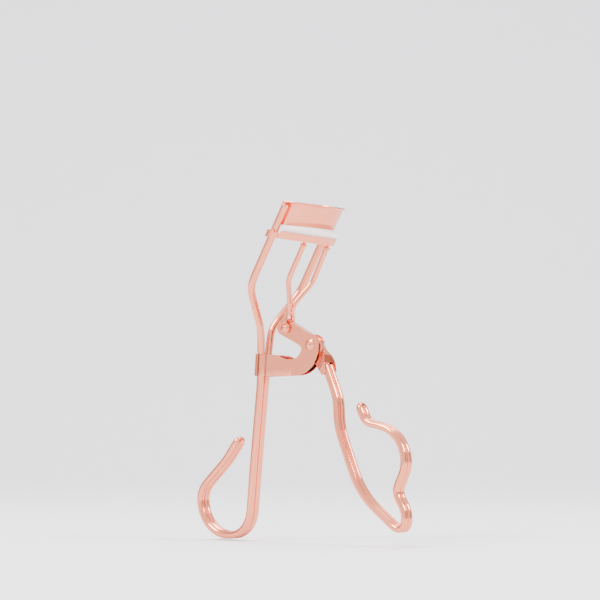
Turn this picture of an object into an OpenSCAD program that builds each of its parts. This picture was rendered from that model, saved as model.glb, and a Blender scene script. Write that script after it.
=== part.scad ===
// Eyelash curler, closed, standing on its fixed finger ring with the jaws at the top.
// The handles lie in the XZ plane and everything is mirrored about y = 0.

/* [Wires] */
// Diameter of the frame wire
frame_wire_d = 2.4; // [2:0.1:2.5]
// Diameter of the handle wire
handle_wire_d = 2.2; // [1.8:0.1:2.3]
// Diameter of the two link wires
link_wire_d = 1.7; // [1.4:0.1:1.8]

/* [Sheet metal] */
// Thickness of the bracket sheet
bracket_t = 0.5; // [0.4:0.05:0.5]
// Thickness of the lever sheet
lever_sheet_t = 0.5; // [0.4:0.05:0.6]
// Overall thickness of the folded lever
lever_t = 2.0; // [1.6:0.1:2]
// Thickness of the upper jaw plate
plate_t = 0.7; // [0.5:0.05:0.8]
// Thickness of the lower jaw walls and floor
channel_t = 0.5; // [0.4:0.05:0.6]

/* [Jaws] */
// Overall width of the lower jaw channel
channel_w = 4.4; // [4:0.1:4.6]
// Height of the lower jaw channel
channel_h = 2.4; // [2:0.1:2.6]
// Gap between pad and lash edge when closed
closed_gap = 0.15; // [0.1:0.05:0.4]

/* [Pivots] */
// Shank radius of the main rivet
pivot_r = 1.1; // [0.9:0.05:1.2]
// Head radius of the main rivet
pivot_head_r = 1.85; // [1.6:0.05:2]
// Shank radius of the link rivet
link_rivet_r = 0.65; // [0.5:0.05:0.7]
// Radial clearance of running fits
running_gap = 0.05; // [0.03:0.01:0.08]

/* [Hidden] */

$fn = 64;
rose_gold = "#e3b4a4";
silicone = "#f0e8e6";
// Longer than any part of the curler, for cutting tools
big = 60;

// Main pivot, and the pivot of the link on the lever, as [x, z]
pivot = [4.95, 61.0];
link_pivot = [-4.8, 66.5];
// Straight guides: foot as [x, z], distance from the middle plane, length, and lean towards the moving handle
guide_foot = [-7.4, 83.7];
guide_y = 12.75;
guide_len = 23.2;
guide_lean = 30;
// Lash edge: radius at the middle of the plate, and centre of the arc in front of the guides
lash_r = 11.6;
arc_x = -3.0;
// Half spacing of the two strands of a doubled wire
strand_gap = 0.07;
frame_strand_y = frame_wire_d / 2 + strand_gap;
handle_strand_y = handle_wire_d / 2 + strand_gap;
link_strand_y = link_wire_d / 2 + strand_gap + 0.01;

// Edges of the jaws, each as [height along the guides at the guides, tilt in degrees]
plate_top = [24.4, 21];
plate_low = [16.4, 23];
channel_low = [11.95, 18.7];
channel_floor = [channel_low[0] + channel_t, channel_low[1]];
channel_top = [channel_low[0] + channel_h, channel_low[1]];
pad_top = [plate_low[0] - closed_gap, plate_low[1]];
// Height along the guides below every jaw edge, and the height above them all
jaw_foot = 5;
jaw_head = 30;

// How far round the lash arc each jaw part reaches, to either side
plate_half_angle = 85;
lip_half_angle = 68;
channel_half_angle = 72;
pad_half_angle = 65.5;
groove_half_angle = 77;
// The lip along the plate's top, which ends before the guides
lip_w = 0.45;
lip_h = 0.5;
// The channel's eye round each guide, and the notch in the front wall between eye and pad
eye_out_r = 2.15;
notch_angle = 70.5;
notch_w = 1.6;
notch_h = 0.7;
// The pad stands this far off the channel's walls, floor and rims
pad_side_gap = 0.05;
pad_gap = 0.03;

// Upset ends of the links, which hold the lower jaw between a collar and a head
link_x = 7.45;
link_y = 5.9;
collar_h = [13.3, 13.7];
head_h = [15.7, 16.3];
collar_r = 1.15;
head_r = 0.95;
neck_r = 0.6;
// Room of a link in its slot, across and along the jaw
slot_room = [0.42, 0.15];

// Bracket ears beside the lever, and the flat eyes of the links outside it
ear_gap = 0.1;
ear_y = lever_t / 2 + ear_gap;
ear_r = 3.3;
eye_t = 0.9;
eye_r = 1.6;
// Holes in the sheets and eyes that a rivet grips, wider than its shank by this much
grip_gap = 0.02;
// Sheets and rivet heads that lie on each other stand this far apart
seat_gap = 0.02;

// Rivet heads: the main rivet's height, the height of the other heads, and the link rivet's radius
pivot_head_h = 0.75;
rivet_end_h = 0.5;
link_head_r = 1.15;
// A shank reaches this far into its heads
head_overlap = 0.01;

// Bracket band round the frame wire, leaning with the wire
band_lean = 3.7;
band_centre = [-14.72, 55.1];
band_h = 7.0;
band_y = 1.75;
band_r = frame_wire_d / 2 + 0.1;
// Inner face of the bracket's sides, which narrows to the ears over the crease
flange_y = band_y + band_r;
crease_x = [-5.0, -3.0];

// Thickness of the lever's folded back, along x and z
spine_shift = [-0.4, -0.4];
// The lever's cheeks spread between these distances from the pivot, in a direction this far below +X
flare_lean = 36.87;
flare_from = 4.75;
flare_to = 8.3;
// Room round the handle wire, in the socket and between the cheeks
socket_gap = 0.04;
flare_y = handle_strand_y + handle_wire_d / 2 + socket_gap + 0.03;

// Direction from the link pivot to the main pivot, and square to it
arm = (pivot - link_pivot) / norm(pivot - link_pivot);
arm_side = [-arm[1], arm[0]];

// Every wire route is a list of corners [[x, y, z], bend radius], from the jaws down.
function guide_point(x, y, h) =
    [guide_foot[0] + h * sin(guide_lean) + x * cos(guide_lean), y,
     guide_foot[1] + h * cos(guide_lean) - x * sin(guide_lean)];

frame_route = [
    [guide_point(0, guide_y, 0), 0],
    [guide_point(0, guide_y, -5.4), 9],
    [[-13.9, 2.5, 66.5], 9],
    [[-14.9, frame_strand_y, 51.5], 60],
    [[-17.7, frame_strand_y, 25], 120],
    [[-20, frame_strand_y, 1.2], 8],
    [[-40, frame_strand_y, 1.2], 11.2],
    [[-40, frame_strand_y, 15.4], 7],
    [[-29.3, frame_strand_y, 25.1], 12],
    [[-25.2, frame_strand_y, 30.4], 0]
];

handle_route = [
    [[10.45, handle_strand_y, 54.55], 0],
    [[15, handle_strand_y, 43.9], 14],
    [[15.2, handle_strand_y, 35.3], 20],
    [[23.4, handle_strand_y, 15.2], 26],
    [[40.3, handle_strand_y, 2.4], 2.1],
    [[40.1, handle_strand_y, 10.5], 5],
    [[36.6, handle_strand_y, 15.9], 2.4],
    [[40.1, handle_strand_y, 23], 6],
    [[40.1, handle_strand_y, 34], 11],
    [[25.4, handle_strand_y, 36.8], 3.5],
    [[23.9, handle_strand_y, 40.8], 0]
];

link_route = [
    [guide_point(link_x, link_y, collar_h[1] - 0.2), 0],
    [guide_point(link_x + 0.3, link_y + 0.3, 1.4), 3],
    [[-3.5, link_strand_y, 73.9], 2.5],
    [[-4.2, link_strand_y, 71.9], 1.5],
    [[-4.7, ear_y + link_wire_d / 2 + seat_gap, 69.9], 1.5],
    [[-4.8, ear_y + link_wire_d / 2 + seat_gap, 67.7], 0]
];

function unit(v) = v / norm(v);

// The arc of a bend at corner b between a and c, as points about step degrees apart
function bend(a, b, c, r, step) =
    let (u = unit(a - b), v = unit(c - b), inner = acos(u * v), turn = 180 - inner,
         back = r / tan(inner / 2), centre = b + unit(u + v) * r / sin(inner / 2),
         from = b + u * back - centre, to = b + v * back - centre, n = ceil(turn / step))
    [for (i = [0:n]) centre + (sin(turn * (1 - i / n)) * from + sin(turn * i / n) * to) / sin(turn)];

// A route's corners rounded into points
function rounded(route, step) =
    [for (i = [0:len(route) - 1])
        each (route[i][1] == 0 ? [route[i][0]]
              : bend(route[i - 1][0], route[i][0], route[i + 1][0], route[i][1], step))];

// A closed outline's corners, each [[x, z], radius], rounded into points
function rounded_outline(corners, step) =
    let (n = len(corners))
    [for (i = [0:n - 1])
        each (corners[i][1] == 0 ? [corners[i][0]]
              : bend(corners[(i + n - 1) % n][0], corners[i][0], corners[(i + 1) % n][0],
                     corners[i][1], step))];

// A line's points in reverse order, on the other side of the middle plane
function mirrored(points) = [for (i = [len(points) - 1:-1:0]) [points[i][0], -points[i][1], points[i][2]]];

// One strand down, a round turn at the end of the ring, and the other strand back up
function hairpin(route, step) =
    let (near = rounded(route, step), n = len(near), tip = near[n - 1],
         ahead = unit(tip - near[n - 2]), r = tip[1],
         turn = [for (a = [30:30:150]) [tip[0], r * cos(a), tip[2]] + r * sin(a) * ahead])
    concat(near, turn, mirrored(near));

// Direction of a line of points at point i
function tangent(p, i) = unit(p[min(i + 1, len(p) - 1)] - p[max(i - 1, 0)]);

// The part of v square to the direction t
function across(v, t) = unit(v - (v * t) * t);

// Directions square to the route, carried along it without twist
function normals(p) =
    [for (i = 0, v = across([1, 0, 0], tangent(p, 0)); i < len(p);
          i = i + 1, v = across(v, tangent(p, min(i, len(p) - 1)))) v];

// A round wire of diameter d swept along the points p. Its flats stand just outside the circle.
module wire(p, d, sides) {
    r = (d / 2 + 0.005) / cos(180 / sides);
    side_dir = normals(p);
    rings = [for (i = [0:len(p) - 1])
        let (t = tangent(p, i), v = side_dir[i], w = cross(t, v))
        each [for (k = [0:sides - 1])
            let (a = (k + 0.5) * 360 / sides) p[i] + r * (cos(a) * v + sin(a) * w)]];
    last = (len(p) - 1) * sides;
    polyhedron(rings, concat(
        [[for (k = [0:sides - 1]) k]],
        [for (i = [0:len(p) - 2], k = [0:sides - 1])
            let (m = (k + 1) % sides, low = i * sides, high = low + sides)
            [low + k, high + k, high + m, low + m]],
        [[for (k = [sides - 1:-1:0]) last + k]]));
}

// Places children in the jaw frame: x in front of the guides, z along them
module jaw_frame() {
    translate([guide_foot[0], 0, guide_foot[1]])
        rotate([0, guide_lean, 0])
            children();
}

// Everything above an edge plane of the jaws
module above(edge) {
    translate([0, 0, edge[0]])
        rotate([0, -edge[1], 0])
            translate([-big, -big, 0])
                cube([2 * big, 2 * big, big]);
}

// Everything below an edge plane of the jaws
module below(edge) {
    translate([0, 0, edge[0]])
        rotate([0, -edge[1], 0])
            translate([-big, -big, -big])
                cube([2 * big, 2 * big, big]);
}

// A curved wall of the jaws between two edge planes
module jaw_wall(r_in, r_out, half_angle, low, high) {
    difference() {
        translate([arc_x, 0, 0])
            rotate([0, 0, -half_angle])
                rotate_extrude(angle = 2 * half_angle)
                    translate([r_in, jaw_foot])
                        square([r_out - r_in, jaw_head - jaw_foot]);
        above(high);
        below(low);
    }
}

// A plate in the XZ plane from y0 to y1
module plate(points, y0, y1) {
    translate([0, y1, 0])
        rotate([90, 0, 0])
            linear_extrude(y1 - y0)
                polygon(points);
}

// A round pin along Y at [x, z] from y0 to y1
module pin(at, r, y0, y1) {
    translate([at[0], y1, at[1]])
        rotate([90, 0, 0])
            cylinder(r = r, h = y1 - y0);
}

// Two circles side by side along Y, joined by straight sides
module stadium(r, y) {
    for (side = [-1, 1])
        translate([0, side * y])
            circle(r);
    translate([-r, -y])
        square([2 * r, 2 * y]);
}

// A domed head on the plane y = 0, towards -Y
module dome(r, h) {
    ball_r = (r * r + h * h) / (2 * h);
    intersection() {
        translate([0, ball_r - h, 0])
            sphere(ball_r, $fn = 96);
        rotate([90, 0, 0])
            cylinder(r = r + 1, h = h + 1);
    }
}

module frame_wire() color(rose_gold) {
    wire(hairpin(frame_route, 12), frame_wire_d, 16);
    for (side = [-1, 1])
        jaw_frame()
            translate([0, side * guide_y, -1])
                cylinder(d = frame_wire_d, h = guide_len + 1);
}

// The sheet of one side of the bracket, seen from above, narrowing at the crease
function flange_strip() =
    [[band_centre[0], flange_y + bracket_t],
     [crease_x[0], flange_y + bracket_t],
     [crease_x[1], ear_y + bracket_t],
     [pivot[0] + ear_r + 1, ear_y + bracket_t],
     [pivot[0] + ear_r + 1, ear_y],
     [crease_x[1] - 0.2, ear_y],
     [crease_x[0] - 0.2, flange_y],
     [band_centre[0], flange_y]];

// Side outline of the bracket: arm, crook and ear
bracket_outline = [
    [[band_centre[0], 58.5], 0],
    [[-7.5, 58.1], 4],
    [[-3.6, 56.6], 3],
    [[pivot[0] - ear_r, 56.6], 4.2],
    [[pivot[0] - ear_r, pivot[1] + ear_r], ear_r - 0.01],
    [[pivot[0] + ear_r, pivot[1] + ear_r], ear_r - 0.01],
    [[pivot[0] + ear_r, 51.7], 9.2],
    [[band_centre[0], 51.5], 0]
];

module bracket() color(rose_gold) {
    difference() {
        intersection() {
            union() {
                for (side = [0, 1])
                    mirror([0, side, 0])
                        linear_extrude(2 * big)
                            polygon(flange_strip());
            }
            plate(rounded_outline(bracket_outline, 9), -big, big);
        }
        pin(pivot, pivot_r + grip_gap, -big, big);
    }
    translate([band_centre[0], 0, band_centre[1]])
        rotate([0, band_lean, 0])
            translate([0, 0, -band_h / 2])
                linear_extrude(band_h)
                    difference() {
                        stadium(band_r + bracket_t, band_y);
                        stadium(band_r, band_y);
                        translate([0.3, -big])
                            square([big, 2 * big]);
                    }
}

module upper_jaw() color(rose_gold) {
    jaw_frame() {
        jaw_wall(lash_r - plate_t / 2, lash_r + plate_t / 2 - 0.1, plate_half_angle, plate_low, plate_top);
        jaw_wall(lash_r, lash_r + plate_t / 2 + lip_w, lip_half_angle,
                 [plate_top[0] - lip_h, plate_top[1]], plate_top);
    }
}

// The groove for the pad, which runs on into the guide eyes
module groove() {
    jaw_wall(lash_r - channel_w / 2 + channel_t, lash_r + channel_w / 2 - channel_t, groove_half_angle,
             channel_floor, [jaw_head, 0]);
    for (side = [-1, 1])
        difference() {
            translate([arc_x, 0, 0])
                rotate([0, 0, side * notch_angle])
                    translate([lash_r, -notch_w / 2, 0])
                        cube([channel_w, notch_w, jaw_head]);
            below([channel_top[0] - notch_h, channel_top[1]]);
        }
}

// The hole in the floor that a link stands in, with room for its tilt
module link_slot() {
    slot_r = neck_r + slot_room[1];
    reach = slot_room[0] - slot_room[1];
    for (end = [-1, 1])
        translate([link_x + end * reach, 0, 0])
            cylinder(r = slot_r, h = jaw_head);
    translate([link_x - reach, -slot_r, 0])
        cube([2 * reach, 2 * slot_r, jaw_head]);
}

module lower_jaw() color(rose_gold) {
    jaw_frame()
        difference() {
            union() {
                jaw_wall(lash_r - channel_w / 2, lash_r + channel_w / 2, channel_half_angle,
                         channel_low, channel_top);
                for (side = [-1, 1])
                    difference() {
                        translate([0, side * guide_y, jaw_foot])
                            cylinder(r = eye_out_r, h = jaw_head - jaw_foot);
                        above(channel_top);
                        below(channel_low);
                    }
            }
            groove();
            for (side = [-1, 1]) {
                translate([0, side * guide_y, 0])
                    cylinder(d = frame_wire_d + 2 * running_gap, h = jaw_head);
                difference() {
                    translate([0, side * link_y, 0])
                        link_slot();
                    above([channel_floor[0] + 0.01, channel_floor[1]]);
                }
            }
        }
}

module pad() color(silicone) {
    inside_w = channel_w - 2 * channel_t - 2 * pad_side_gap;
    head_w = channel_w - 4 * pad_side_gap;
    head_room = 0.15;
    jaw_frame()
        difference() {
            union() {
                jaw_wall(lash_r - inside_w / 2, lash_r + inside_w / 2, pad_half_angle,
                         [channel_floor[0] + pad_gap, channel_floor[1]], pad_top);
                jaw_wall(lash_r - head_w / 2, lash_r + head_w / 2, pad_half_angle,
                         [channel_top[0] + pad_gap, channel_top[1]], pad_top);
            }
            for (side = [-1, 1])
                translate([link_x, side * link_y, 0])
                    cylinder(r = head_r + slot_room[0] + head_room, h = head_h[1] + 2 * head_room);
        }
}

// One link: the wire, its collar and head at the jaw, and the flat eye at the lever
module link() {
    difference() {
        union() {
            wire(rounded(link_route, 18), link_wire_d, 12);
            jaw_frame()
                translate([link_x, link_y, 0]) {
                    translate([0, 0, collar_h[0] - 1])
                        cylinder(r = neck_r, h = head_h[1] - collar_h[0] + 1);
                    translate([0, 0, collar_h[0]])
                        cylinder(r = collar_r, h = collar_h[1] - collar_h[0]);
                    translate([0, 0, head_h[0]])
                        cylinder(r = head_r, h = head_h[1] - head_h[0]);
                }
            pin(link_pivot, eye_r, ear_y, ear_y + eye_t);
        }
        pin(link_pivot, link_rivet_r + grip_gap, ear_y - 1, ear_y + eye_t + 1);
    }
}

module link_near() color(rose_gold) mirror([0, 1, 0]) link();

module link_far() color(rose_gold) link();

// A point of the lever's arm, as [x, z], from the link pivot towards the main pivot and above that line
function on_arm(along, up) = link_pivot + along * arm + up * arm_side;

// Side outline of the lever: the arm's end, the bent back, and the slanted end over the handle wire
lever_outline = [
    [on_arm(-3.7, -3.0), 2.4],
    [on_arm(-3.7, 2.6), 2.4],
    [on_arm(12.6, 2.7), 9],
    [[11.1, 57.2], 7],
    [[12.0, 52.7], 0.4],
    [[10.9, 51.1], 0.5],
    [[8.5, 53.7], 2],
    [[3.2, 57.4], 2.5],
    [on_arm(7.2, -2.3), 4]
];

// What lies between the two cheeks, with y_arm and y_end the half widths before and after the flare
module flared(y_arm, y_end) {
    half = [[-30, y_arm], [flare_from, y_arm], [flare_to, y_end], [30, y_end]];
    translate([pivot[0], 0, pivot[1]])
        rotate([0, flare_lean, 0])
            translate([0, 0, -big])
                linear_extrude(2 * big)
                    polygon(concat(half, [for (i = [3:-1:0]) [half[i][0], -half[i][1]]]));
}

module lever() color(rose_gold) {
    difference() {
        intersection() {
            plate(rounded_outline(lever_outline, 9), -10, 10);
            flared(lever_t / 2, flare_y + lever_sheet_t);
        }
        intersection() {
            translate([spine_shift[0], 0, spine_shift[1]])
                plate(rounded_outline(lever_outline, 9), -10, 10);
            flared(lever_t / 2 - lever_sheet_t, flare_y);
        }
        handle_socket();
        pin(pivot, pivot_r + running_gap, -big, big);
        pin(link_pivot, link_rivet_r + running_gap, -big, big);
    }
}

// Room for the two strands of the handle wire, wherever the spine would meet them
module handle_socket() {
    top = handle_route[0][0];
    down = handle_route[1][0] - top;
    translate([top[0], 0, top[2]])
        rotate([0, atan2(down[0], down[2]), 0])
            translate([0, 0, -0.2])
                linear_extrude(norm(down))
                    stadium(handle_wire_d / 2 + socket_gap, handle_strand_y);
}

module handle_wire() color(rose_gold) {
    wire(hairpin(handle_route, 12), handle_wire_d, 16);
}

module pivot_rivet() color(rose_gold) {
    seat = ear_y + bracket_t + seat_gap;
    punch_r = 0.35;
    pin(pivot, pivot_r, -seat - head_overlap, seat + head_overlap);
    difference() {
        translate([pivot[0], -seat, pivot[1]])
            dome(pivot_head_r, pivot_head_h);
        pin(pivot, punch_r, -big, -seat - 0.6 * pivot_head_h);
    }
    translate([pivot[0], seat, pivot[1]])
        mirror([0, 1, 0])
            dome(pivot_head_r - 0.2, rivet_end_h);
}

module link_rivet() color(rose_gold) {
    seat = ear_y + eye_t + seat_gap;
    pin(link_pivot, link_rivet_r, -seat - head_overlap, seat + head_overlap);
    for (side = [0, 1])
        mirror([0, side, 0])
            translate([link_pivot[0], -seat, link_pivot[1]])
                dome(link_head_r, rivet_end_h);
}

frame_wire();
bracket();
upper_jaw();
lower_jaw();
pad();
link_near();
link_far();
lever();
handle_wire();
pivot_rivet();
link_rivet();
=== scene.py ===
"""An eyelash curler: rose-gold plated wire and sheet, with a white silicone pad."""

import math

import bmesh
import bpy
from mathutils import Matrix, Vector

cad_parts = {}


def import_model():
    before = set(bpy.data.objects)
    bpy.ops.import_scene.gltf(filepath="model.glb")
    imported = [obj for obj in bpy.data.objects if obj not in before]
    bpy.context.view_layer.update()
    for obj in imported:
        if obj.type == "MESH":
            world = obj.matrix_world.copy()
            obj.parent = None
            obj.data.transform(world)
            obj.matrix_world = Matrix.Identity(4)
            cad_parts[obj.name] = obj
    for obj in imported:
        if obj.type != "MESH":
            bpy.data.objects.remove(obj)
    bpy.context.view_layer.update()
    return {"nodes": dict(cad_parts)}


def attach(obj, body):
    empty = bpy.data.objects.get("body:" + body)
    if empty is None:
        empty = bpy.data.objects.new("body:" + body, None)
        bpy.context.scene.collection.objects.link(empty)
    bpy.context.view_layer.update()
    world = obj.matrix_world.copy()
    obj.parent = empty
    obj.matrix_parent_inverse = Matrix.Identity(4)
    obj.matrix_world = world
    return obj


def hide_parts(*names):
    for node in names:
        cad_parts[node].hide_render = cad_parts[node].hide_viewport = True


MM = 0.001

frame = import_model()


# ---------------------------------------------------------------- routes, in millimetres

# The guides: the point between their feet, their lean, their distance from the middle, and their top
GUIDE_FOOT = Vector((-7.4, 0, 83.7))
GUIDE_LEAN = math.radians(30)
GUIDE_Y = 12.75
GUIDE_END = 23.2

FRAME_WIRE_R = 1.2
HANDLE_WIRE_R = 1.1
LINK_WIRE_R = 0.85
# Half the gap between the two strands of a doubled wire
HALF_GAP = 0.07
FRAME_STRAND_Y = FRAME_WIRE_R + HALF_GAP
HANDLE_STRAND_Y = HANDLE_WIRE_R + HALF_GAP
LINK_STRAND_Y = LINK_WIRE_R + HALF_GAP + 0.01


def guide_point(x, y, h):
    """A point x in front of the guides and h along them."""
    along = Vector((math.sin(GUIDE_LEAN), 0, math.cos(GUIDE_LEAN)))
    front = Vector((math.cos(GUIDE_LEAN), 0, -math.sin(GUIDE_LEAN)))
    return GUIDE_FOOT + x * front + h * along + Vector((0, y, 0))


# Corners as (point, bend radius), from the jaws down
FRAME_ROUTE = [
    (guide_point(0, GUIDE_Y, GUIDE_END), 0),
    (guide_point(0, GUIDE_Y, -5.4), 9),
    (Vector((-13.9, 2.5, 66.5)), 9),
    (Vector((-14.9, FRAME_STRAND_Y, 51.5)), 60),
    (Vector((-17.7, FRAME_STRAND_Y, 25)), 120),
    (Vector((-20, FRAME_STRAND_Y, 1.2)), 8),
    (Vector((-40, FRAME_STRAND_Y, 1.2)), 11.2),
    (Vector((-40, FRAME_STRAND_Y, 15.4)), 7),
    (Vector((-29.3, FRAME_STRAND_Y, 25.1)), 12),
    (Vector((-25.2, FRAME_STRAND_Y, 30.4)), 0),
]

HANDLE_ROUTE = [
    (Vector((10.45, HANDLE_STRAND_Y, 54.55)), 0),
    (Vector((15, HANDLE_STRAND_Y, 43.9)), 14),
    (Vector((15.2, HANDLE_STRAND_Y, 35.3)), 20),
    (Vector((23.4, HANDLE_STRAND_Y, 15.2)), 26),
    (Vector((40.3, HANDLE_STRAND_Y, 2.4)), 2.1),
    (Vector((40.1, HANDLE_STRAND_Y, 10.5)), 5),
    (Vector((36.6, HANDLE_STRAND_Y, 15.9)), 2.4),
    (Vector((40.1, HANDLE_STRAND_Y, 23)), 6),
    (Vector((40.1, HANDLE_STRAND_Y, 34)), 11),
    (Vector((25.4, HANDLE_STRAND_Y, 36.8)), 3.5),
    (Vector((23.9, HANDLE_STRAND_Y, 40.8)), 0),
]


def bend(a, b, c, r, step):
    """Points of the arc of radius r that rounds the corner b, step degrees apart."""
    u = (a - b).normalized()
    v = (c - b).normalized()
    inner = u.angle(v)
    turn = math.pi - inner
    if turn < 1e-4:
        return [b]
    reach = r / math.tan(inner / 2)
    centre = b + (u + v).normalized() * r / math.sin(inner / 2)
    start = b + u * reach - centre
    end = b + v * reach - centre
    n = max(2, math.ceil(math.degrees(turn) / step))
    return [
        centre + (math.sin(turn * (1 - i / n)) * start + math.sin(turn * i / n) * end) / math.sin(turn)
        for i in range(n + 1)
    ]


def rounded(route, step=4):
    """The route's points, with its corners rounded."""
    points = []
    for i, (p, r) in enumerate(route):
        points += [p] if r == 0 else bend(route[i - 1][0], p, route[i + 1][0], r, step)
    return points


def resampled(points, spacing):
    """Points at an even spacing along a line of points."""
    lengths = [(b - a).length for a, b in zip(points, points[1:])]
    count = max(1, round(sum(lengths) / spacing))
    step = sum(lengths) / count
    out, i, passed = [points[0]], 0, 0.0
    for k in range(1, count):
        while passed + lengths[i] < k * step:
            passed += lengths[i]
            i += 1
        out.append(points[i].lerp(points[i + 1], (k * step - passed) / lengths[i]))
    return out + [points[-1]]


def relaxed(points, reach=4):
    """The line with its changes of curvature spread out, as hand-bent wire has them."""
    n = len(points)
    out = []
    for i in range(n):
        w = min(reach, i, n - 1 - i)
        near = points[i - w:i + w + 1]
        out.append(sum(near, Vector()) / len(near))
    return out


def wire_line(route, spacing=0.35):
    """The centre line of a hand-bent wire that follows the route."""
    return relaxed(relaxed(resampled(rounded(route), spacing)))


def hairpin(route):
    """One strand down, a round turn at its end, and the mirrored strand back up."""
    near = wire_line(route)
    tip = near[-1]
    ahead = (tip - near[-2]).normalized()
    turn = []
    for degrees in range(10, 180, 10):
        a = math.radians(degrees)
        turn.append(Vector((tip.x, tip.y * math.cos(a), tip.z)) + tip.y * math.sin(a) * ahead)
    far = [Vector((p.x, -p.y, p.z)) for p in reversed(near)]
    return near + turn + far


# ---------------------------------------------------------------- mesh helpers


def new_piece(name, bm, body, material, replaced):
    """A shown piece made from bm (in mm), riding on a body in place of a CAD node."""
    bmesh.ops.recalc_face_normals(bm, faces=bm.faces)
    # The face that lies furthest to the near side has to look that way
    nearest = min(bm.faces, key=lambda face: face.calc_center_median().y)
    if nearest.normal.y > 0:
        bmesh.ops.reverse_faces(bm, faces=bm.faces)
    bmesh.ops.scale(bm, vec=(MM, MM, MM), verts=bm.verts)
    mesh = bpy.data.meshes.new(name)
    bm.to_mesh(mesh)
    bm.free()
    obj = bpy.data.objects.new(name, mesh)
    bpy.context.scene.collection.objects.link(obj)
    mesh.materials.append(material)
    for polygon in mesh.polygons:
        polygon.use_smooth = True
    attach(obj, body)
    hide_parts(replaced)
    return obj


def weighted(obj):
    """Flat faces stay flat to the light, right up to their rounded edges."""
    modifier = obj.modifiers.new("weighted", "WEIGHTED_NORMAL")
    modifier.keep_sharp = False
    return obj


def bevel_sharp(bm, width, segments=3):
    """Rounds every edge that turns by more than 40 degrees."""
    sharp = math.radians(40)
    edges = [e for e in bm.edges if len(e.link_faces) == 2 and e.calc_face_angle() > sharp]
    bmesh.ops.bevel(bm, geom=edges, offset=width, segments=segments, profile=0.5, affect="EDGES",
                    clamp_overlap=True)


def soften(obj, width, angle):
    """Rounds the edges that turn by more than the angle, in a modifier."""
    soft = obj.modifiers.new("edges", "BEVEL")
    soft.width = width * MM
    soft.segments = 2
    soft.limit_method = "ANGLE"
    soft.angle_limit = math.radians(angle)


def skin(bm, rings):
    """Quads between rings of equal size, with a face on each end."""
    sides = len(rings[0])
    for one, two in zip(rings, rings[1:]):
        for k in range(sides):
            m = (k + 1) % sides
            bm.faces.new((one[k], one[m], two[m], two[k]))
    bm.faces.new(list(reversed(rings[0])))
    bm.faces.new(rings[-1])


def circle(bm, centre, side, other, r, count):
    """A ring of vertices in the plane of two unit vectors."""
    turns = [2 * math.pi * k / count for k in range(count)]
    return [bm.verts.new(centre + r * (math.cos(a) * side + math.sin(a) * other)) for a in turns]


def sweep(bm, points, r, sides=24, cap=0.3):
    """A round wire along the points, with its ends' edges rounded off."""
    n = len(points)
    tangents = [(points[min(i + 1, n - 1)] - points[max(i - 1, 0)]).normalized() for i in range(n)]
    side = tangents[0].orthogonal().normalized()
    rounding = [(cap * (1 - math.cos(math.radians(a))), r - cap + cap * math.sin(math.radians(a)))
                for a in (0, 30, 60)]

    def ring(at, along, radius):
        return circle(bm, at, side, along.cross(side), radius, sides)

    rings = [ring(points[0] + inset * tangents[0], tangents[0], radius) for inset, radius in rounding]
    for i, (at, along) in enumerate(zip(points, tangents)):
        side = (side - side.dot(along) * along).normalized()
        if i == 0:
            at = at + cap * along
        if i == n - 1:
            at = at - cap * along
        rings.append(ring(at, along, r))
    for inset, radius in reversed(rounding):
        rings.append(ring(points[-1] - inset * tangents[-1], tangents[-1], radius))
    skin(bm, rings)


def lathe(bm, origin, axis, profile, sides=40):
    """A turned shape: profile is a list of (radius, height along the axis)."""
    side = axis.orthogonal().normalized()
    other = axis.cross(side)
    skin(bm, [circle(bm, origin + h * axis, side, other, r, sides) for r, h in profile])


def edge_height(edge, x):
    """Height along the guides of an edge plane of the jaws, x in front of the guides."""
    return edge[0] + math.tan(math.radians(edge[1])) * x


def jaw_wall(bm, half_angle, section, steps=90):
    """A curved wall of the jaws. section is a closed list of (radius, (edge plane, height above it))."""
    rings = []
    for i in range(steps + 1):
        a = math.radians(half_angle * (2 * i / steps - 1))
        ring = []
        for r, (edge, rise) in section:
            x = ARC_X + r * math.cos(a)
            ring.append(bm.verts.new(guide_point(x, r * math.sin(a), edge_height(edge, x) + rise)))
        rings.append(ring)
    skin(bm, rings)


def eased(table, s, spread):
    """The height at s of a line through the table's points, with its corners rounded over +-spread."""
    total = 0
    for k in range(-4, 5):
        u = s + spread * k / 4
        (a, ya), (b, yb) = next((p, q) for p, q in zip(table, table[1:]) if u <= q[0] or q is table[-1])
        total += ya + (yb - ya) * min(1, max(0, (u - a) / (b - a)))
    return total / 9


def cut(bm, point, normal):
    """Cuts the faces where the plane through the point crosses them."""
    bmesh.ops.bisect_plane(bm, geom=bm.verts[:] + bm.edges[:] + bm.faces[:], dist=1e-5,
                           plane_co=point, plane_no=normal)


def flat_sheet(outline, normal, offsets):
    """A flat face in the XZ plane, cut along lines square to normal at the offsets."""
    bm = bmesh.new()
    bm.faces.new([bm.verts.new((x, 0, z)) for x, z in outline])
    for offset in offsets:
        cut(bm, normal * offset, normal)
    return bm


def thicken(sheet, bm, offset):
    """Adds to bm a plate of the sheet's faces, its other side displaced by offset."""
    near = {v: bm.verts.new(v.co) for v in sheet.verts}
    far = {v: bm.verts.new(v.co + offset) for v in sheet.verts}
    for face in sheet.faces:
        bm.faces.new([near[v] for v in face.verts])
        bm.faces.new([far[v] for v in reversed(face.verts)])
    for edge in sheet.edges:
        if len(edge.link_faces) == 1:
            a, b = edge.verts
            bm.faces.new((near[a], near[b], far[b], far[a]))
    sheet.free()


def outline_points(corners, step=6):
    """A closed outline of ((x, z), radius) corners with its corners rounded."""
    n = len(corners)
    flat = [Vector((x, 0, z)) for (x, z), _ in corners]
    points = []
    for i, (_, r) in enumerate(corners):
        if r == 0:
            points.append(flat[i])
        else:
            points += bend(flat[i - 1], flat[i], flat[(i + 1) % n], r, step)
    return [(p.x, p.z) for p in points]


# ---------------------------------------------------------------- materials


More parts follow.
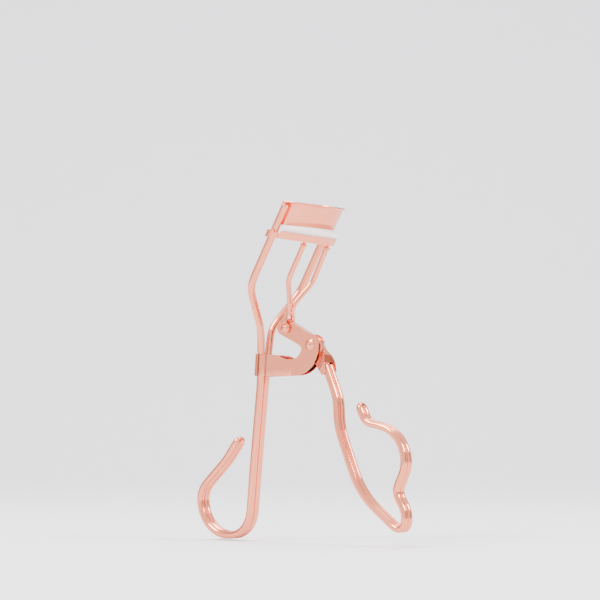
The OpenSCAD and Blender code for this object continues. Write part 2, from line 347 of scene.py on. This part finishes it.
def plain_material(name):
    """A new material, with its node tree and shader."""
    mat = bpy.data.materials.new(name)
    mat.use_nodes = True
    return mat, mat.node_tree, mat.node_tree.nodes["Principled BSDF"]


def noise(tree, vector, scale, detail):
    """A noise texture's factor over the vector."""
    texture = tree.nodes.new("ShaderNodeTexNoise")
    texture.inputs["Scale"].default_value = scale
    texture.inputs["Detail"].default_value = detail
    tree.links.new(vector, texture.inputs["Vector"])
    return texture.outputs["Fac"]


def tint(tree, shader, factor, low, high):
    """A base colour that runs from low to high with the factor."""
    ramp = tree.nodes.new("ShaderNodeValToRGB")
    ramp.color_ramp.elements[0].color = (*low, 1)
    ramp.color_ramp.elements[1].color = (*high, 1)
    tree.links.new(factor, ramp.inputs["Fac"])
    tree.links.new(ramp.outputs["Color"], shader.inputs["Base Color"])


def relief(tree, shader, height, strength):
    """A bump of the height, a twentieth of a millimetre deep at full strength."""
    bump = tree.nodes.new("ShaderNodeBump")
    bump.inputs["Strength"].default_value = strength
    bump.inputs["Distance"].default_value = 0.00005
    tree.links.new(height, bump.inputs["Height"])
    tree.links.new(bump.outputs["Normal"], shader.inputs["Normal"])


def rose_gold():
    """Polished rose-gold plating: faint clouds in colour and gloss, and fine drawn scratches."""
    mat, tree, shader = plain_material("rose_gold_plating")
    shader.inputs["Metallic"].default_value = 1.0
    place = tree.nodes.new("ShaderNodeTexCoord").outputs["Object"]
    cloud = noise(tree, place, scale=260, detail=4)
    tint(tree, shader, cloud, (0.8, 0.24, 0.13), (0.85, 0.29, 0.17))

    gloss = tree.nodes.new("ShaderNodeMapRange")
    gloss.inputs["To Min"].default_value = 0.08
    gloss.inputs["To Max"].default_value = 0.18
    tree.links.new(cloud, gloss.inputs["Value"])
    tree.links.new(gloss.outputs["Result"], shader.inputs["Roughness"])

    stretch = tree.nodes.new("ShaderNodeMapping")
    stretch.inputs["Scale"].default_value = (900, 900, 5200)
    tree.links.new(place, stretch.inputs["Vector"])
    scratches = noise(tree, stretch.outputs["Vector"], scale=1, detail=3)
    relief(tree, shader, scratches, strength=0.05)
    return mat


def silicone():
    """Milky translucent silicone with a faint moulded grain."""
    mat, tree, shader = plain_material("milky_silicone")
    shader.inputs["Roughness"].default_value = 0.4
    shader.inputs["Subsurface Weight"].default_value = 0.5
    shader.inputs["Subsurface Radius"].default_value = (1, 0.8, 0.7)
    shader.inputs["Subsurface Scale"].default_value = 0.001
    place = tree.nodes.new("ShaderNodeTexCoord").outputs["Object"]
    grain = noise(tree, place, scale=2500, detail=3)
    tint(tree, shader, grain, (0.86, 0.72, 0.69), (0.94, 0.82, 0.79))
    relief(tree, shader, grain, strength=0.15)
    return mat


METAL = rose_gold()
SILICONE = silicone()


# ---------------------------------------------------------------- pieces


def frame_wire():
    """The fixed ring, handle and guides, of one wire."""
    bm = bmesh.new()
    sweep(bm, hairpin(FRAME_ROUTE), FRAME_WIRE_R)
    return new_piece("frame_wire_v", bm, "frame", METAL, "frame_wire")


def handle_wire():
    """The moving handle and its ring, of one wire."""
    bm = bmesh.new()
    sweep(bm, hairpin(HANDLE_ROUTE), HANDLE_WIRE_R)
    return new_piece("handle_wire_v", bm, "lever", METAL, "handle_wire")


# The jaws: edges as (height at the guides, tilt in degrees)
PLATE_TOP = (24.4, 21)
PLATE_LOW = (16.4, 23)
CHANNEL_LOW = (11.95, 18.7)
CHANNEL_TOP = (14.35, 18.7)
PAD_TOP = (16.25, 23)
# The lash arc: its radius, and its centre in front of the guides
LASH_R = 11.6
ARC_X = -3.0


def upper_jaw():
    """The lash plate, with a thin lip turned out along its top."""
    inner = LASH_R - 0.35
    outer = LASH_R + 0.25
    lip = 0.55
    section = [
        (inner, (PLATE_LOW, 0)),
        (outer, (PLATE_LOW, 0)),
        (outer, (PLATE_TOP, -0.9)),
        (outer + lip * 0.3, (PLATE_TOP, -0.7)),
        (outer + lip, (PLATE_TOP, -0.6)),
        (outer + lip, (PLATE_TOP, 0)),
        (inner + lip * 0.6, (PLATE_TOP, 0)),
        (inner + lip * 0.2, (PLATE_TOP, -0.5)),
        (inner, (PLATE_TOP, -1.3)),
    ]
    bm = bmesh.new()
    jaw_wall(bm, half_angle=85, section=section)
    bevel_sharp(bm, width=0.12)
    return weighted(new_piece("upper_jaw_v", bm, "frame", METAL, "upper_jaw"))


def pad():
    """The silicone strip, pressed into the channel and standing over its walls."""
    def strip(half_angle, half_width, low, high):
        inner = LASH_R - half_width
        outer = LASH_R + half_width
        jaw_wall(bm, half_angle, [(inner, low), (outer, low), (outer, high), (inner, high)])

    bm = bmesh.new()
    strip(half_angle=65.5, half_width=2.1, low=(CHANNEL_TOP, 0.03), high=(PAD_TOP, 0))
    bevel_sharp(bm, width=0.5, segments=5)
    strip(half_angle=65, half_width=1.65, low=(CHANNEL_LOW, 0.55), high=(CHANNEL_TOP, 0.6))
    return weighted(new_piece("pad_v", bm, "jaw", SILICONE, "pad"))


def lower_jaw():
    """The channel is the CAD's own, with its edges rounded and the plating on it."""
    channel = frame["nodes"]["lower_jaw"]
    channel.data.materials.clear()
    channel.data.materials.append(METAL)
    soften(channel, width=0.08, angle=40)
    weighted(channel)


PIVOT = Vector((4.95, 0, 61))
LINK_PIVOT = Vector((-4.8, 0, 66.5))
SHEET_T = 0.5
# Inner face of the ears and their radius, and outer face of the sides over the wires
EAR_Y = 1.1
EAR_R = 3.3
FLANGE_Y = 3.55

# The band round the two strands: centre, height, lean, and its middle line's round ends
BAND_X = -14.72
BAND_Z = 55.1
BAND_H = 7.0
BAND_LEAN = math.radians(3.7)
BAND_END_Y = 1.75
BAND_END_R = 1.55

BRACKET_OUTLINE = [
    ((BAND_X - 0.2, 51.5), 0),
    ((PIVOT.x + EAR_R, 51.7), 9.2),
    ((PIVOT.x + EAR_R, PIVOT.z + EAR_R), EAR_R - 0.01),
    ((PIVOT.x - EAR_R, PIVOT.z + EAR_R), EAR_R - 0.01),
    ((PIVOT.x - EAR_R, 56.6), 4.2),
    ((-3.6, 56.6), 3),
    ((-7.5, 58.1), 4),
    ((BAND_X + 0.2, 58.5), 0),
]

# Outer face of a side against x: over the wires, pinched in behind them, and in again at the crease
BRACKET_Y = [
    (-30, FLANGE_Y),
    (-12.7, FLANGE_Y),
    (-11.9, FLANGE_Y - 0.45),
    (-11.1, FLANGE_Y),
    (-5.0, FLANGE_Y),
    (-3.0, EAR_Y + SHEET_T),
    (30, EAR_Y + SHEET_T),
]
CUT_STEP = 0.2


def bracket_side(bm, side):
    """One side of the bracket, bent at the pinch, which leans with the band, and at the crease."""
    crease_cuts = [-5.6 + CUT_STEP * k for k in range(17)]
    sheet = flat_sheet(outline_points(BRACKET_OUTLINE), Vector((1, 0, 0)), crease_cuts)
    pinch_normal = Vector((1, 0, -math.tan(BAND_LEAN))).normalized()
    for k in range(14):
        cut(sheet, Vector((-13.2 + CUT_STEP * k, 0, BAND_Z)), pinch_normal)
    pinch_end = -9
    for v in sheet.verts:
        s = v.co.x if v.co.x > pinch_end else v.co.x - math.tan(BAND_LEAN) * (v.co.z - BAND_Z)
        v.co.y = side * eased(BRACKET_Y, s, spread=0.35)
    thicken(sheet, bm, Vector((0, -side * SHEET_T, 0)))


def bracket_band(bm):
    """The band from one side of the bracket round the strands to the other."""
    arc = [math.radians(a) for a in range(0, 91, 10)]
    path = [(0.4, BAND_END_Y + BAND_END_R)]
    path += [(-BAND_END_R * math.sin(a), BAND_END_Y + BAND_END_R * math.cos(a)) for a in arc]
    path += [(x, -y) for x, y in reversed(path)]
    rings = []
    for i, (x, y) in enumerate(path):
        xa, ya = path[max(i - 1, 0)]
        xb, yb = path[min(i + 1, len(path) - 1)]
        out = Vector((yb - ya, -(xb - xa), 0)).normalized() * SHEET_T / 2
        ring = []
        for z, d in ((-1, -1), (-1, 1), (1, 1), (1, -1)):
            local = Vector((x, y, z * BAND_H / 2)) + d * out
            local.rotate(Matrix.Rotation(BAND_LEAN, 4, "Y"))
            ring.append(bm.verts.new(local + Vector((BAND_X, 0, BAND_Z))))
        rings.append(ring)
    skin(bm, rings)


def bracket():
    """The wire clamp: a band round the wires, and two sides that narrow to the ears."""
    bm = bmesh.new()
    for side in (-1, 1):
        bracket_side(bm, side)
    bracket_band(bm)
    bevel_sharp(bm, width=0.1, segments=2)
    return weighted(new_piece("bracket_v", bm, "frame", METAL, "bracket"))


# Direction of the lever's arm from the link pivot to the main pivot, and square to it
ARM = (PIVOT - LINK_PIVOT).normalized()
ARM_SIDE = Vector((-ARM.z, 0, ARM.x))
# Outer face of a lever cheek against the distance from the main pivot along this direction
FLARE = Vector((0.8, 0, -0.6))
LEVER_Y = [(-30, 1.0), (4.7, 1.0), (8.2, 2.82), (30, 2.82)]
# The folded back ends here, above the place where the handle wire enters
FOLD_END = 55.3


def on_arm(along, up):
    """A point of the lever as (x, z), along its arm from the link pivot and above the arm."""
    p = LINK_PIVOT + along * ARM + up * ARM_SIDE
    return (p.x, p.z)


LEVER_OUTLINE = [
    (on_arm(-3.7, -3.0), 2.4),
    (on_arm(-3.7, 2.6), 2.4),
    (on_arm(12.6, 2.7), 9),
    ((11.1, 57.2), 7),
    ((12.0, 52.7), 0.4),
    ((10.9, 51.1), 0.5),
    ((8.5, 53.7), 2),
    ((3.2, 57.4), 2.5),
    (on_arm(7.2, -2.3), 4),
]


def on_fold(p):
    """Whether a point of the outline lies on the folded upper edge."""
    along = ARM.dot(p - LINK_PIVOT)
    up = ARM_SIDE.dot(p - LINK_PIVOT)
    if p.z <= FOLD_END:
        return False
    if along < 8:
        return up > 1.2
    return p.x > 9.5 or up > 0.5


def lever():
    """The folded lever: two cheeks joined along their upper edge, spreading over the handle wire."""
    bm = bmesh.new()
    start = FLARE.dot(PIVOT)
    flare_cuts = [start + 4.0 + CUT_STEP * k for k in range(26)]
    for side in (-1, 1):
        sheet = flat_sheet(outline_points(LEVER_OUTLINE), FLARE, flare_cuts)
        for v in sheet.verts:
            v.co.y = side * eased(LEVER_Y, FLARE.dot(v.co) - start, spread=0.6)
        own = {v: bm.verts.new(v.co) for v in sheet.verts}
        for face in sheet.faces:
            bm.faces.new([own[v] for v in face.verts])
        sheet.free()

    # The cheeks are joined rim to rim along the fold, whose two long edges are then rounded
    rims = [e for e in bm.edges if len(e.link_faces) == 1]
    at = {(round(v.co.x, 4), round(v.co.z, 4), v.co.y > 0): v for e in rims for v in e.verts}
    folds = []
    for e in rims:
        a, b = e.verts
        if a.co.y > 0 or not on_fold(a.co) or not on_fold(b.co):
            continue
        c, d = (at[(round(v.co.x, 4), round(v.co.z, 4), True)] for v in (b, a))
        bm.faces.new((a, b, c, d))
        folds.append(((a, b), (d, c)))
    bmesh.ops.recalc_face_normals(bm, faces=bm.faces)
    edges = [bm.edges.get(ends) for pair in folds for ends in pair]
    bmesh.ops.bevel(bm, geom=edges, offset=0.35, segments=4, profile=0.5, affect="EDGES", clamp_overlap=True)

    obj = new_piece("lever_v", bm, "lever", METAL, "lever")
    solid = obj.modifiers.new("sheet", "SOLIDIFY")
    solid.thickness = SHEET_T * MM
    solid.offset = -1
    solid.use_even_offset = True
    soften(obj, width=0.08, angle=50)
    return weighted(obj)


# The links' upper ends in the jaw frame, and the heights of their collars and heads
LINK_X = 7.45
LINK_Y = 5.9
COLLAR_H = 13.3
HEAD_H = 15.7
COLLAR_R = 1.15
NECK_R = 0.6
EYE_R = 1.6
EYE_T = 0.9
# Gap between the lever, ears, eyes and rivet heads that lie on each other
SEAT_GAP = 0.02


def link(side, name, node):
    """One link: the wire with its upset ends at the jaw, and the coined eye on the lever."""
    def at(p):
        return Vector((p.x, side * p.y, p.z))

    eye_y = EAR_Y + LINK_WIRE_R + SEAT_GAP
    route = [
        (at(guide_point(LINK_X, LINK_Y, COLLAR_H + 0.2)), 0),
        (at(guide_point(LINK_X + 0.3, LINK_Y + 0.3, 1.4)), 3),
        (at(Vector((-3.5, LINK_STRAND_Y, 73.9))), 2.5),
        (at(Vector((-4.2, LINK_STRAND_Y, 71.9))), 1.5),
        (at(Vector((-4.7, eye_y, 69.9))), 1.5),
        (at(Vector((-4.8, eye_y, 67.7))), 0),
    ]
    bm = bmesh.new()
    sweep(bm, wire_line(route, spacing=0.25), LINK_WIRE_R, sides=20)
    up = (guide_point(0, 0, 1) - guide_point(0, 0, 0)).normalized()
    foot = at(guide_point(LINK_X, LINK_Y, 0))
    upset_end = [
        (0.8, COLLAR_H - 0.3),
        (1.0, COLLAR_H - 0.15),
        (COLLAR_R, COLLAR_H),
        (COLLAR_R, COLLAR_H + 0.3),
        (NECK_R, COLLAR_H + 0.38),
        (NECK_R, HEAD_H),
        (0.95, HEAD_H + 0.1),
        (0.9, HEAD_H + 0.45),
        (NECK_R, HEAD_H + 0.6),
    ]
    lathe(bm, foot, up, upset_end, sides=24)
    eye = [
        (EYE_R - 0.1, EAR_Y),
        (EYE_R, EAR_Y + 0.1),
        (EYE_R, EAR_Y + EYE_T - 0.15),
        (EYE_R - 0.05, EAR_Y + EYE_T - 0.05),
        (EYE_R - 0.15, EAR_Y + EYE_T),
    ]
    lathe(bm, LINK_PIVOT, Vector((0, side, 0)), eye)
    return new_piece(name, bm, "link", METAL, node)


def dome_profile(r, h, seat):
    """A domed head of radius r and height h whose rim stands on the height seat."""
    ball = (r * r + h * h) / (2 * h)
    edge = math.asin(r / ball)
    profile = [(r - 0.12, seat)]
    for k in range(11):
        a = edge * (1 - k / 10)
        profile.append((max(ball * math.sin(a), 0.02), seat + h - ball + ball * math.cos(a)))
    return profile


def pivot_rivet():
    """Shank, domed head with its punch mark, and the flatter peened end."""
    shank_r = 1.1
    seat = EAR_Y + SHEET_T + SEAT_GAP
    # The middle of the near head makes room for the punch mark
    head = [(r, h) for r, h in dome_profile(r=1.85, h=0.75, seat=seat) if r > 0.5]
    rim = head[-1][1]
    punch = [(0.36, rim), (0.28, rim - 0.12), (0.05, rim - 0.2)]
    bm = bmesh.new()
    lathe(bm, PIVOT, Vector((0, -1, 0)), [(shank_r, -seat), (shank_r, seat)] + head + punch, sides=64)
    tail = [(shank_r, seat - 0.2)] + dome_profile(r=1.65, h=0.5, seat=seat)
    lathe(bm, PIVOT, Vector((0, 1, 0)), tail, sides=64)
    return new_piece("pivot_rivet_v", bm, "frame", METAL, "pivot_rivet")


def link_rivet():
    """A short pin with a small domed head at each end."""
    shank_r = 0.65
    seat = EAR_Y + EYE_T + SEAT_GAP
    profile = [(shank_r, 0), (shank_r, seat)] + dome_profile(r=1.15, h=0.5, seat=seat)
    bm = bmesh.new()
    for side in (-1, 1):
        lathe(bm, LINK_PIVOT, Vector((0, side, 0)), profile, sides=48)
    return new_piece("link_rivet_v", bm, "link", METAL, "link_rivet")


frame_wire()
handle_wire()
upper_jaw()
pad()
bracket()
lever()
link(-1, "link_near_v", "link_near")
link(1, "link_far_v", "link_far")
pivot_rivet()
link_rivet()
lower_jaw()


# ---------------------------------------------------------------- studio, in metres

# Directions are azimuths in degrees, from -Y towards +X
VIEW_AZIMUTH = 38


def matt(name, colour):
    """A plain dull material for what stands round the curler."""
    mat, _, shader = plain_material(name)
    shader.inputs["Base Color"].default_value = (*colour, 1)
    shader.inputs["Roughness"].default_value = 0.9
    return mat


def backdrop():
    """A pale floor that curves up into the wall."""
    bend_r = 0.5
    floor_end = 0.7
    # The floor lies just under the curler, so that they don't share a plane
    floor_z = -0.0005
    arc = [math.radians(a) for a in range(10, 91, 10)]
    profile = [(-1.2, 0.0), (floor_end, 0.0)]
    profile += [(floor_end + bend_r * math.sin(a), bend_r - bend_r * math.cos(a)) for a in arc]
    profile.append((floor_end + bend_r, 2.2))
    bm = bmesh.new()
    rows = [[bm.verts.new((x, y, z)) for x in (-2.5, 2.5)] for y, z in profile]
    for low, high in zip(rows, rows[1:]):
        bm.faces.new((low[0], low[1], high[1], high[0]))
    mesh = bpy.data.meshes.new("backdrop")
    bm.to_mesh(mesh)
    bm.free()
    for polygon in mesh.polygons:
        polygon.use_smooth = True
    mesh.materials.append(matt("backdrop", (0.82, 0.8, 0.83)))
    obj = bpy.data.objects.new("backdrop", mesh)
    obj.rotation_euler = (0, 0, math.radians(VIEW_AZIMUTH))
    obj.location = (0, 0, floor_z)
    bpy.context.scene.collection.objects.link(obj)


def light(name, azimuth, elevation, distance, size, power):
    """A square soft light aimed at the curler's middle."""
    data = bpy.data.lights.new(name, "AREA")
    data.size = size
    data.energy = power
    obj = bpy.data.objects.new(name, data)
    a = math.radians(azimuth)
    e = math.radians(elevation)
    back = Vector((math.sin(a) * math.cos(e), -math.cos(a) * math.cos(e), math.sin(e)))
    obj.location = Vector((0, 0, 0.06)) + back * distance
    obj.rotation_mode = "QUATERNION"
    obj.rotation_quaternion = (-back).to_track_quat("-Z", "Y")
    bpy.context.scene.collection.objects.link(obj)


def flag(name, azimuth, distance, width):
    """An upright dark card beside the curler, which draws dark lines along the polished wires."""
    low = 0.02
    high = 0.9
    corners = ((-1, low), (1, low), (1, high), (-1, high))
    bm = bmesh.new()
    bm.faces.new([bm.verts.new((x * width / 2, 0, z)) for x, z in corners])
    mesh = bpy.data.meshes.new(name)
    bm.to_mesh(mesh)
    bm.free()
    mesh.materials.append(matt(name, (0.2, 0.13, 0.11)))
    obj = bpy.data.objects.new(name, mesh)
    a = math.radians(azimuth)
    obj.location = (distance * math.sin(a), -distance * math.cos(a), 0)
    obj.rotation_euler = (0, 0, a)
    bpy.context.scene.collection.objects.link(obj)


def world():
    """An even pale light from all round."""
    sky = bpy.data.worlds.new("studio")
    sky.use_nodes = True
    background = sky.node_tree.nodes["Background"]
    background.inputs["Color"].default_value = (0.93, 0.92, 0.94, 1)
    background.inputs["Strength"].default_value = 2.4
    bpy.context.scene.world = sky


def camera():
    """The photograph's view, 600 mm away and from a little below the middle."""
    data = bpy.data.cameras.new("camera")
    data.sensor_width = 36
    data.lens = 115.2
    data.clip_start = 0.01
    obj = bpy.data.objects.new("camera", data)
    a = math.radians(VIEW_AZIMUTH)
    distance = 600
    middle_x = -0.2
    target = Vector((middle_x, 0, 75.2)) * MM
    obj.location = Vector((middle_x + distance * math.sin(a), -distance * math.cos(a), 32.7)) * MM
    obj.rotation_mode = "QUATERNION"
    obj.rotation_quaternion = (target - obj.location).to_track_quat("-Z", "Y")
    bpy.context.scene.collection.objects.link(obj)
    bpy.context.scene.camera = obj


backdrop()
light("key", azimuth=-20, elevation=50, distance=0.9, size=0.4, power=12)
light("fill", azimuth=100, elevation=30, distance=0.9, size=0.25, power=9)
light("top", azimuth=200, elevation=75, distance=0.9, size=0.6, power=7)
flag("flag_left", azimuth=-62, distance=0.8, width=0.26)
flag("flag_right", azimuth=97, distance=1.05, width=0.6)
flag("flag_back", azimuth=150, distance=0.8, width=0.25)
world()
camera()
